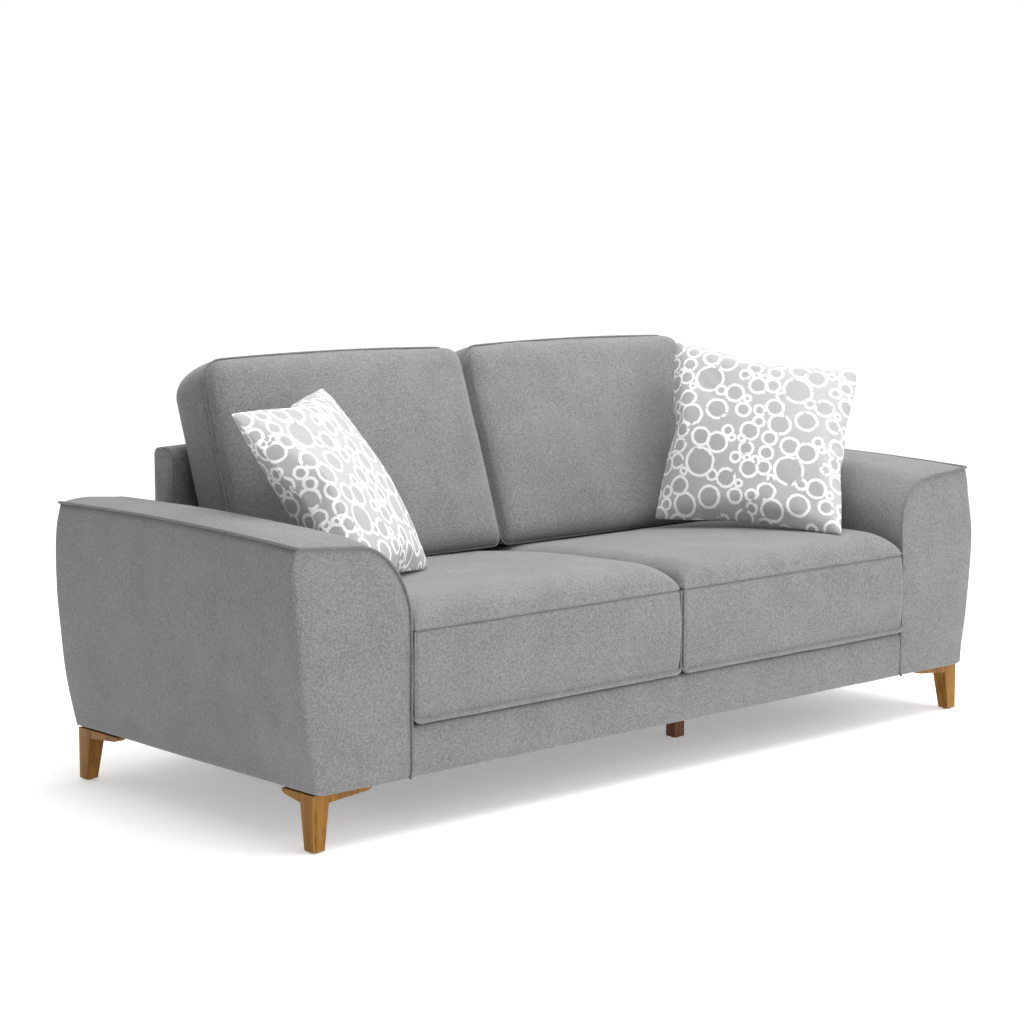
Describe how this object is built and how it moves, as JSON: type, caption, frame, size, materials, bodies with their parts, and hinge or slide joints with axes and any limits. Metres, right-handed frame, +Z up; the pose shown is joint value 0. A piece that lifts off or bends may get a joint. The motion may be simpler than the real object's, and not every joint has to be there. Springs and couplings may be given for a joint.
{
  "type": "upholstered sofa",
  "caption": "Velvet sofa with rounded sloping arms, loose seat and back cushions, patterned scatter pillows and tapered wooden corner legs.",
  "frame": {"origin": "centre of the footprint, on the floor", "axes": "+Z up, -Y the front, +X the sitter's left (the viewer's right)"},
  "size_m": [2.0702, 0.8984, 0.908],
  "materials": {
    "velvet": "brushed mid-grey velvet, short nap with a mottled sheen",
    "piping": "velvet-covered cord, a shade darker",
    "ring_print": "light grey cotton with painted white rings",
    "oak": "honey-stained oak, satin lacquer",
    "dark_wood": "red-brown stained hardwood",
    "frame_timber": "sawn softwood and plywood, bare",
    "steel": "zinc-plated fasteners",
    "spring_steel": "oil-tempered spring wire",
    "nylon": "black moulded nylon",
    "webbing": "elastic webbing",
    "felt": "needled felt pad",
    "dust_cloth": "black non-woven cloth",
    "foam": "cut polyurethane foam",
    "fibre_fill": "polyester fibre",
    "zip_tape": "dark grey zip"
  },
  "bodies": {
    "root": {"front_rail": "frame_timber", "rear_rail": "frame_timber", "side_rail_left": "frame_timber", "side_rail_right": "frame_timber", "stretcher_left": "frame_timber", "stretcher_right": "frame_timber", "corner_blocks": "frame_timber", "arm_bolts": "steel", "seat_springs": "spring_steel", "spring_clips": "nylon", "deck_pad": "felt", "dust_cover": "dust_cloth", "front_rail_cover": "velvet", "centre_leg": "dark_wood", "floor_glides": "nylon", "leg_bolts": "steel", "leg_tee_nuts": "steel", "leg_wings": "oak", "wing_screws": "steel", "leg_front_left": "oak", "leg_front_right": "oak", "leg_rear_left": "oak", "leg_rear_right": "oak", "arm_base_left": "frame_timber", "arm_base_right": "frame_timber", "arm_front_post_left": "frame_timber", "arm_front_post_right": "frame_timber", "arm_rear_post_left": "frame_timber", "arm_rear_post_right": "frame_timber", "arm_top_board_left": "frame_timber", "arm_top_board_right": "frame_timber", "arm_foam_left": "foam", "arm_foam_right": "foam", "arm_cover_left": "velvet", "arm_cover_right": "velvet", "arm_piping_left": "piping", "arm_piping_right": "piping", "back_posts": "frame_timber", "back_top_rail": "frame_timber", "back_lower_rails": "frame_timber", "back_webbing": "webbing", "back_foam": "foam", "back_cover": "velvet"},
    "seat_cushion_left": {"seat_cover_left": "velvet", "seat_foam_left": "foam", "seat_zip_left": "zip_tape"},
    "back_cushion_left": {"back_cushion_cover_left": "velvet", "back_cushion_filling_left": "fibre_fill", "back_cushion_zip_left": "zip_tape"},
    "throw_pillow_left": {"pillow_cover_left": "ring_print", "pillow_filling_left": "fibre_fill"},
    "seat_cushion_right": {"seat_cover_right": "velvet", "seat_foam_right": "foam", "seat_zip_right": "zip_tape"},
    "back_cushion_right": {"back_cushion_cover_right": "velvet", "back_cushion_filling_right": "fibre_fill", "back_cushion_zip_right": "zip_tape"},
    "throw_pillow_right": {"pillow_cover_right": "ring_print", "pillow_filling_right": "fibre_fill"}
  },
  "joints": [
    {"name": "seat_cushion_left_pull", "type": "slide", "parent": "root", "child": "seat_cushion_left", "axis": [0, -1, 0], "range_m": [0, 0.74]},
    {"name": "back_cushion_left_lift", "type": "slide", "parent": "root", "child": "back_cushion_left", "axis": [0, 0.2706, 0.9627], "range_m": [0, 0.5]},
    {"name": "throw_pillow_left_lift", "type": "slide", "parent": "root", "child": "throw_pillow_left", "axis": [0.145, -0.29, 0.946], "range_m": [0, 0.5]},
    {"name": "seat_cushion_right_pull", "type": "slide", "parent": "root", "child": "seat_cushion_right", "axis": [0, -1, 0], "range_m": [0, 0.74]},
    {"name": "back_cushion_right_lift", "type": "slide", "parent": "root", "child": "back_cushion_right", "axis": [0, 0.2706, 0.9627], "range_m": [0, 0.5]},
    {"name": "throw_pillow_right_lift", "type": "slide", "parent": "root", "child": "throw_pillow_right", "axis": [-0.2299, -0.2349, 0.9445], "range_m": [0, 0.5]}
  ]
}
